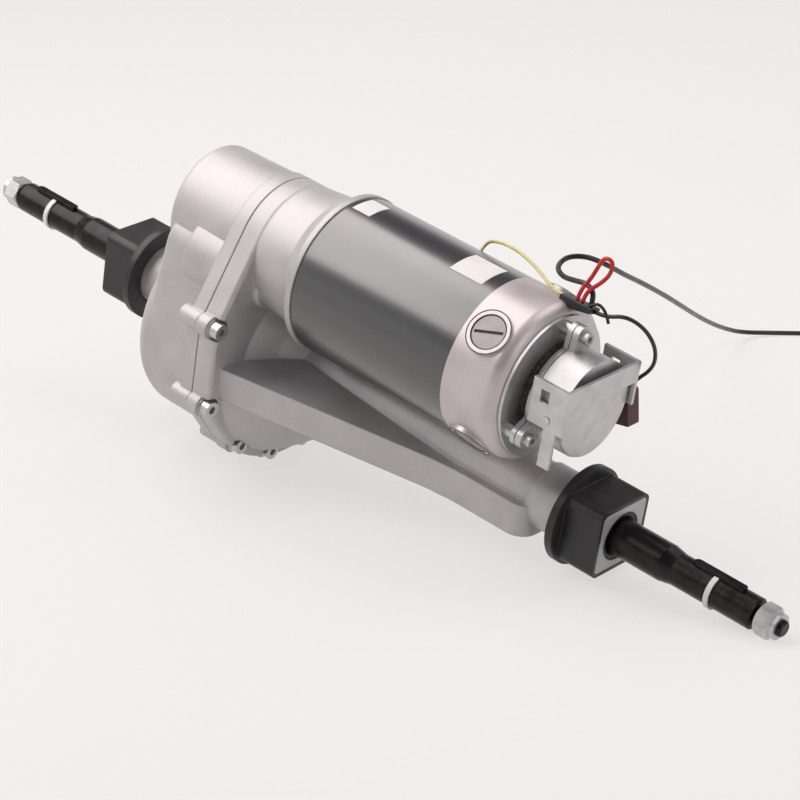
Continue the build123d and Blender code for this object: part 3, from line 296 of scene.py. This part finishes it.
# What all the finishes share
coat_roughness = 0.2
patch_detail = 3.0
grain_detail = 2.0
grain_share = 0.35            # of the grain in the pattern that colour and gloss follow
colour_start = 0.42           # where in that pattern the colours start, and how far they reach
colour_span = 0.5
gloss_start = 0.45            # where roughness starts to rise, and where it stops
gloss_end = 0.9
soft_edge_samples = 4


def surface(name, colours, metallic, roughness, mottle_mm, grain_mm, relief_mm, stretch=(1, 1, 1), soft_mm=0,
            coat=0.0, sheen=0.0, specular=0.5):
    """A finish whose colour and gloss drift over patches mottle_mm wide. Its relief has grains grain_mm wide,
    and stretch lets them run one way. soft_mm rounds the look of sharp edges by that radius."""
    material = bpy.data.materials.new(name)
    material.use_nodes = True
    tree = material.node_tree
    shader = tree.nodes["Principled BSDF"]
    shader.inputs["Metallic"].default_value = metallic
    shader.inputs["Coat Weight"].default_value = coat
    shader.inputs["Coat Roughness"].default_value = coat_roughness
    shader.inputs["Specular IOR Level"].default_value = specular
    shader.inputs["Sheen Weight"].default_value = sheen
    where = add(tree, "ShaderNodeTexCoord").outputs["Object"]
    patches = add(tree, "ShaderNodeTexNoise", {"Scale": per_metre(mottle_mm), "Detail": patch_detail},
                  {"Vector": where})
    run = add(tree, "ShaderNodeMapping", {"Scale": stretch}, {"Vector": where})
    grain = add(tree, "ShaderNodeTexNoise", {"Scale": per_metre(grain_mm), "Detail": grain_detail},
                {"Vector": run.outputs["Vector"]})
    both = add(tree, "ShaderNodeMath", {"operation": "MULTIPLY_ADD", 1: grain_share},
               {0: grain.outputs["Fac"], 2: patches.outputs["Fac"]})
    last = len(colours) - 1
    steps = [(colour_start + colour_span * i / last, colour) for i, colour in enumerate(colours)]
    tree.links.new(ramp(tree, both.outputs["Value"], steps), shader.inputs["Base Color"])
    gloss = add(tree, "ShaderNodeMapRange", {"From Min": gloss_start, "From Max": gloss_end,
                                             "To Min": roughness[0], "To Max": roughness[1]},
                {"Value": both.outputs["Value"]})
    tree.links.new(gloss.outputs["Result"], shader.inputs["Roughness"])
    relief = add(tree, "ShaderNodeBump", {"Strength": 1.0, "Distance": relief_mm * MM},
                 {"Height": grain.outputs["Fac"]})
    if soft_mm:
        edge = add(tree, "ShaderNodeBevel", {"samples": soft_edge_samples, "Radius": soft_mm * MM})
        tree.links.new(edge.outputs["Normal"], relief.inputs["Normal"])
    tree.links.new(relief.outputs["Normal"], shader.inputs["Normal"])
    return material


# Turning, grinding and hobbing leave lines round the axle. The real ones are too fine to show, so they are
# drawn several times as coarse.
ROUND = (1, 0.03, 0.03)

finishes = {
    # Die-cast aluminium, blasted: matt, pale and faintly mottled where the metal flowed
    "cast_alloy": surface(
        "blasted_aluminium_casting", ("#b5b2b3", "#bebbbb", "#c5c2c2"), metallic=0.5, roughness=(0.46, 0.56),
        mottle_mm=18, grain_mm=0.6, relief_mm=0.05, soft_mm=1.4),
    # Die-cast aluminium, tumbled after machining: brighter, with fine turning lines
    "bell_alloy": surface(
        "turned_aluminium_bell", ("#bfb5b6", "#c9c0c0", "#cfc7c6"), metallic=0.55, roughness=(0.36, 0.46),
        mottle_mm=18, grain_mm=0.35, relief_mm=0.02, stretch=ROUND, soft_mm=0.8),
    # Steel tube with satin black stoved enamel: a faint orange peel blurs its highlights
    "can_black": surface(
        "satin_black_enamel", ("#0c0a0b", "#110f10", "#151213"), metallic=0.0, roughness=(0.3, 0.36),
        mottle_mm=30, grain_mm=1.2, relief_mm=0.02, coat=1.0, specular=1.0),
    # Pressed fibre jointing, dull grey
    "gasket": surface(
        "fibre_jointing", ("#3a3937", "#4b4946", "#55534f"), metallic=0.0, roughness=(0.8, 0.92),
        mottle_mm=3, grain_mm=0.4, relief_mm=0.04),
    # Zinc plating on steel: pale grey with soft cloudy patches and a blurred shine
    "zinc_steel": surface(
        "bright_zinc_plate", ("#b6b6b7", "#c4c3c3", "#d0cecc"), metallic=0.85, roughness=(0.34, 0.44),
        mottle_mm=9, grain_mm=0.6, relief_mm=0.01, soft_mm=0.3),
    # Ground bearing steel: mirror-like with very fine lines round it
    "steel": surface(
        "ground_bearing_steel", ("#8b8d90", "#a5a7aa", "#b3b5b7"), metallic=1.0, roughness=(0.16, 0.24),
        mottle_mm=8, grain_mm=0.3, relief_mm=0.006, stretch=ROUND),
    # Case-hardened gear steel, oiled: darker grey, hobbing lines across the teeth
    "gear_steel": surface(
        "hardened_gear_steel", ("#55565a", "#6d6e71", "#7f8083"), metallic=1.0, roughness=(0.24, 0.36),
        mottle_mm=6, grain_mm=0.4, relief_mm=0.01, stretch=ROUND, soft_mm=0.15),
    # Turned steel shaft, chemically blacked: satin black with turning rings
    "black_steel": surface(
        "blacked_turned_steel", ("#181716", "#242221", "#322f2d"), metallic=0.7, roughness=(0.24, 0.36),
        mottle_mm=9, grain_mm=0.5, relief_mm=0.015, stretch=ROUND, soft_mm=0.5),
    # Sand-cast iron: dark and grainy
    "iron": surface(
        "cast_iron", ("#2c2b2b", "#3c3b3a", "#474543"), metallic=0.6, roughness=(0.55, 0.7),
        mottle_mm=4, grain_mm=0.7, relief_mm=0.08),
    # Stacked electrical steel: a fine line at each lamination
    "core_steel": surface(
        "lamination_stack", ("#4a4b4e", "#66676a", "#797a7c"), metallic=0.9, roughness=(0.35, 0.5),
        mottle_mm=8, grain_mm=0.5, relief_mm=0.05, stretch=ROUND),
    # Enamelled copper wire, wound: coppery with strands running round
    "copper": surface(
        "enamelled_copper", ("#7a3a1d", "#a8582c", "#c4733d"), metallic=0.8, roughness=(0.3, 0.42),
        mottle_mm=3, grain_mm=0.8, relief_mm=0.12, stretch=ROUND),
    # Sintered ferrite: charcoal and dead matt
    "magnet": surface(
        "sintered_ferrite", ("#232325", "#2d2d2f", "#363638"), metallic=0.0, roughness=(0.7, 0.85),
        mottle_mm=5, grain_mm=0.4, relief_mm=0.04),
    # Pressed carbon: black with a faint graphite shine
    "carbon": surface(
        "pressed_carbon", ("#141414", "#1e1e1f", "#29292a"), metallic=0.2, roughness=(0.45, 0.6),
        mottle_mm=2, grain_mm=0.25, relief_mm=0.03),
    # Sintered bronze, soaked in oil: brown gold
    "bronze": surface(
        "sintered_bronze", ("#6d4c26", "#8a6334", "#9f7743"), metallic=0.85, roughness=(0.4, 0.55),
        mottle_mm=3, grain_mm=0.3, relief_mm=0.03),
    # Compression-moulded natural rubber: deep black, slightly dusty on its flats
    "block_rubber": surface(
        "moulded_rubber", ("#131212", "#1b1919", "#262424"), metallic=0.0, roughness=(0.36, 0.5),
        mottle_mm=11, grain_mm=0.6, relief_mm=0.04, soft_mm=1.2, sheen=0.05),
    # Moulded nitrile rubber, wiped with oil: black with a dull shine
    "seal_rubber": surface(
        "nitrile_seal", ("#121212", "#1a1a1a", "#222222"), metallic=0.0, roughness=(0.45, 0.6),
        mottle_mm=4, grain_mm=0.4, relief_mm=0.02),
    # Glass-filled nylon: grey with a satin skin
    "cap_plastic": surface(
        "grey_nylon_cap", ("#a89fa0", "#b3aaab", "#bab1b1"), metallic=0.0, roughness=(0.3, 0.42),
        mottle_mm=6, grain_mm=0.35, relief_mm=0.02, soft_mm=0.3),
    # Pressed phenolic resin: dark brown, flecked and nearly matt
    "holder_plastic": surface(
        "brown_phenolic", ("#24190f", "#302115", "#3b2a1c"), metallic=0.0, roughness=(0.5, 0.62),
        mottle_mm=3, grain_mm=0.3, relief_mm=0.02),
    # Moulded brown nylon connector, matt with a soft shine on its edges
    "brown_plastic": surface(
        "brown_nylon", ("#2e100f", "#431a18", "#552623"), metallic=0.0, roughness=(0.35, 0.5),
        mottle_mm=5, grain_mm=0.4, relief_mm=0.03, soft_mm=0.3),
    # Moulded black nylon, finely eroded: satin black
    "plug_plastic": surface(
        "black_nylon_plug", ("#111111", "#1b1b1b", "#242424"), metallic=0.0, roughness=(0.4, 0.55),
        mottle_mm=5, grain_mm=0.4, relief_mm=0.03, soft_mm=0.3),
    # Bonded brake lining: dark with brass and fibre flecks
    "friction": surface(
        "brake_lining", ("#231f1b", "#332d27", "#6b5530"), metallic=0.1, roughness=(0.65, 0.8),
        mottle_mm=1.5, grain_mm=0.5, relief_mm=0.05),
    # White nylon bands and blank white film: clean, with a faint shine
    "white_plastic": surface(
        "white_nylon", ("#e3e1dc", "#e9e7e3", "#eeece8"), metallic=0.0, roughness=(0.35, 0.5),
        mottle_mm=9, grain_mm=0.5, relief_mm=0.01),
    # PVC sheath: black, satin, faintly ribbed by the die
    "cable_black": surface(
        "black_pvc_sheath", ("#0f0f10", "#19191a", "#242425"), metallic=0.0, roughness=(0.32, 0.45),
        mottle_mm=8, grain_mm=0.8, relief_mm=0.02, coat=0.1),
    # PVC on a single wire, extruded: smooth red with a soft shine
    "wire_red": surface(
        "red_pvc_wire", ("#a30e12", "#c4171a", "#d8272a"), metallic=0.0, roughness=(0.3, 0.42),
        mottle_mm=6, grain_mm=0.5, relief_mm=0.01, coat=0.1),
    # The same in cream, yellowed a little
    "wire_cream": surface(
        "cream_pvc_wire", ("#c9c07a", "#dbd391", "#e8e2ac"), metallic=0.0, roughness=(0.3, 0.42),
        mottle_mm=6, grain_mm=0.5, relief_mm=0.01, coat=0.1),
}


def dress(piece, slot_name):
    """Gives a piece the finish of a slot."""
    piece.data.materials.clear()
    piece.data.materials.append(finishes[slot_name])
    return piece


def dress_solids():
    """Gives every solid the finish of its slot."""
    slots = {part["node"]: part["material_slot"] for part in frame["record"]["subparts"]}
    for node, piece in frame["nodes"].items():
        dress(piece, slots[node])


def finished(name, form, slot_name, body="housing"):
    """A closed form as a piece with its finish, its faces turned outwards."""
    bmesh.ops.remove_doubles(form, verts=form.verts, dist=weld_distance)
    bmesh.ops.recalc_face_normals(form, faces=form.faces)
    mesh = bpy.data.meshes.new(name)
    form.to_mesh(mesh)
    form.free()
    piece = link(name, mesh)
    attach(piece, body)
    return dress(piece, slot_name)


def spun(form, profile, centre, start, sweep, steps):
    """Spins a closed profile of (x, radius) points part of the way about an axis along X. Both of its ends
    are closed."""
    y, z = centre
    corners = [form.verts.new((x, y + reach * math.cos(start), z + reach * math.sin(start)))
               for x, reach in profile]
    face = form.faces.new(corners)
    bmesh.ops.spin(form, geom=[face], cent=(0, y, z), axis=(1, 0, 0), angle=sweep, steps=steps,
                   use_merge=False, use_duplicate=False)


def add_labels():
    """Rating labels on the can, left bare."""
    form = bmesh.new()
    low, high = can_radius, can_radius + label_thick
    for left, right, start, end in can_labels:
        profile = [(left, low), (right, low), (right, high), (left, high)]
        spun(form, profile, (motor_y, motor_z), math.radians(start), math.radians(end - start), label_steps)
    finished("can_labels", form, "white_plastic")


def add_cluster_wall():
    """The cover's wall round the cluster's wheel, where it stands out between the drum and the motor's lobe.
    The cover's solid is open there. The outer left edge is rounded."""
    form = bmesh.new()
    left, right = cluster_wall_x
    low, high = cluster_wall_radii
    start, end = cluster_wall_angles
    profile = [(left, low), (right, low), (right, high), (left + wall_round, high)]
    for step in range(1, wall_round_steps):
        turn = math.radians(90 * step / wall_round_steps)
        profile.append((left + wall_round * (1 - math.sin(turn)), high - wall_round * (1 - math.cos(turn))))
    profile.append((left, high - wall_round))
    spun(form, profile, (cluster_y, cluster_z), math.radians(start), math.radians(end - start),
         cluster_wall_steps)
    finished("cluster_wall", form, "cast_alloy")


def add_cap_painted_shade():
    """Painted shade round each brush cap: a dark ring in the gap round it, one round the root of its boss,
    and a dark fill in its slot.
    """
    form = bmesh.new()
    for angle in brush_angles:
        before = set(form.verts)
        for reach, thick, height in cap_painted_shade:
            made = bmesh.ops.create_circle(form, segments=cap_ring_sides, radius=thick)
            upright = Matrix.Rotation(math.pi / 2, 3, "X")
            bmesh.ops.rotate(form, verts=made["verts"], cent=(0, 0, 0), matrix=upright)
            bmesh.ops.translate(form, verts=made["verts"], vec=(reach, 0, height))
            edges = list({edge for vertex in made["verts"] for edge in vertex.link_edges})
            bmesh.ops.spin(form, geom=edges, cent=(0, 0, 0), axis=(0, 0, 1), angle=math.tau,
                           steps=cap_ring_steps, use_merge=True, use_duplicate=False)
        made = bmesh.ops.create_cube(form, size=1)
        bmesh.ops.scale(form, verts=made["verts"], vec=cap_slot_painted_shade)
        leaning = Matrix.Rotation(cap_slot_turn, 3, "Z")
        bmesh.ops.rotate(form, verts=made["verts"], cent=(0, 0, 0), matrix=leaning)
        bmesh.ops.translate(form, verts=made["verts"], vec=(0, 0, -cap_slot_depth))
        verts = [vertex for vertex in form.verts if vertex not in before]
        turn = Matrix.Rotation(math.radians(angle) - math.pi / 2, 3, "X")
        bmesh.ops.rotate(form, verts=verts, cent=(0, 0, 0), matrix=turn)
        bmesh.ops.translate(form, verts=verts, vec=on_motor(brush_x, cap_face, math.radians(angle)))
    # The painted shade takes the seals' dark rubber finish
    finished("cap_painted_shade", form, "seal_rubber")


def add_spare_tail():
    """The stiff stub of black lead beside the red loop. At 18 mm it is too short to be declared as a cord."""
    tail = lead("spare_tail", spare_tail, spare_tail_radius)
    dress(tail, "cable_black")


def add_cords():
    """Every lead, in place of the solids that it stands for. The real length of each is measured and printed.
    """
    turn, centre = coil_frame()

    def in_coil(x, y, z):
        """A point in the coil's own frame."""
        return tuple(centre + turn.to_3x3() @ Vector((x, y, z)))

    # Where the cable leaves the coil, and which way it heads there
    place = (coil_radius * math.sin(coil_exit_turn), coil_radius * math.cos(coil_exit_turn))
    heading = (math.cos(coil_exit_turn), -math.sin(coil_exit_turn))
    diameter = 2 * cable_radius
    way_out = [in_coil(place[0] + heading[0] * reach, place[1] + heading[1] * reach, height * diameter)
               for reach, height in coil_way_out]
    way_in = [in_coil(-coil_way_in, coil_radius, cable_radius)]
    cable = lead("motor_cable", cable_run + way_in + coil_points() + way_out, cable_radius)
    dress(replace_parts(cable, "black_cable", "cable_coil"), "cable_black")
    length = curve_length(cable)
    print("motor cable", round(length, 4))
    brake = lead("brake_cable", brake_run, brake_lead_radius)
    dress(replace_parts(brake, "brake_lead"), "cable_black")
    length = curve_length(brake)
    print("brake cable", round(length, 4))
    for name, node, run, radius, slot_name in (
            ("red_jumper", "red_wire", red_run, red_wire_radius, "wire_red"),
            ("cream_jumper", "cream_wire", cream_run, cream_wire_radius, "wire_cream")):
        wire = lead(name, run, radius)
        print(name, round(curve_length(wire), 4))
        dress(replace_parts(wire, node), slot_name)


def floor_material():
    """Pale matt paper, which keeps the shadow. The camera and reflections also see it glow a little."""
    material = bpy.data.materials.new("pale_floor")
    material.use_nodes = True
    tree = material.node_tree
    shader = tree.nodes["Principled BSDF"]
    shader.inputs["Base Color"].default_value = linear(floor_paper)
    shader.inputs["Roughness"].default_value = 0.9
    shader.inputs["Specular IOR Level"].default_value = 0.1
    pale = add(tree, "ShaderNodeEmission", {"Color": linear(floor_seen), "Strength": 1.0})
    rays = add(tree, "ShaderNodeLightPath")
    seen = add(tree, "ShaderNodeMath", {"operation": "MAXIMUM"},
               {0: rays.outputs["Is Camera Ray"], 1: rays.outputs["Is Glossy Ray"]})
    clear = add(tree, "ShaderNodeMath", {"operation": "MAXIMUM"},
                {0: seen.outputs["Value"], 1: rays.outputs["Is Transmission Ray"]})
    share = add(tree, "ShaderNodeMath", {"operation": "MULTIPLY", 1: floor_own_light},
                {0: clear.outputs["Value"]})
    mix = add(tree, "ShaderNodeMixShader", links={0: share.outputs["Value"], 1: shader.outputs["BSDF"],
                                                  2: pale.outputs["Emission"]})
    tree.links.new(mix.outputs["Shader"], tree.nodes["Material Output"].inputs["Surface"])
    return material


def add_floor():
    """A wide disc, tilted in the solids' frame, because the unit rests on its casting and its right end."""
    mesh = bpy.data.meshes.new("floor")
    form = bmesh.new()
    bmesh.ops.create_circle(form, cap_ends=True, segments=floor_sides, radius=floor_reach)
    bmesh.ops.rotate(form, verts=form.verts, cent=(0, 0, 0), matrix=Matrix.Rotation(-rest_tilt, 3, "Y"))
    bmesh.ops.translate(form, verts=form.verts, vec=(floor_x, 0, floor_z))
    form.to_mesh(mesh)
    form.free()
    mesh.materials.append(floor_material())
    link("floor", mesh)


def add_world():
    """A studio room: a pale wall all round, which is the background, under a dim ceiling."""
    world = bpy.data.worlds.new("room")
    bpy.context.scene.world = world
    world.use_nodes = True
    tree = world.node_tree
    room = tree.nodes["Background"]
    towards = add(tree, "ShaderNodeTexCoord").outputs["Generated"]
    rise = add(tree, "ShaderNodeSeparateXYZ", links={0: towards}).outputs["Z"]
    height = add(tree, "ShaderNodeMapRange", {"From Min": wall_top, "From Max": ceiling}, {"Value": rise})
    shades = ramp(tree, height.outputs["Result"], [(0, wall_colour), (1, ceiling_colour)])
    tree.links.new(shades, room.inputs["Color"])
    room.inputs["Strength"].default_value = 1.0


def add_lamp(name, place, size, power, along, colour="#fff9f7"):
    """A softbox aimed at the unit. Its second size runs as nearly along the given direction as it can."""
    data = bpy.data.lights.new(name, "AREA")
    data.shape = "RECTANGLE"
    data.size, data.size_y = size
    data.energy = power
    data.color = linear(colour)[:3]
    out = Vector(place).normalized()
    across = Vector(along).cross(out).normalized()
    turn = Matrix((across, out.cross(across), out)).transposed().to_4x4()
    link(name, data).matrix_world = Matrix.Translation(place) @ turn


def add_lights():
    """The key's place and length follow from the band that it draws along the can."""
    add_lamp("softbox_key", (-0.963, -0.312, 1.107), (0.9, 2.07), 25.5, (0, 0.94, 0.34))
    add_lamp("softbox_back", (0.35, 0.9, 1.35), (1.4, 0.9), 9, (1, 0, 0))
    add_lamp("softbox_right", (1.4, -0.1, 0.9), (0.8, 0.6), 3.5, (0, 1, 0))


def main():
    """Makes the whole scene, the camera and the cords first."""
    add_camera()
    add_cords()
    dress_solids()
    add_labels()
    add_cluster_wall()
    add_cap_painted_shade()
    add_spare_tail()
    add_floor()
    add_world()
    add_lights()
    bpy.context.scene.view_settings.view_transform = "Standard"


main()
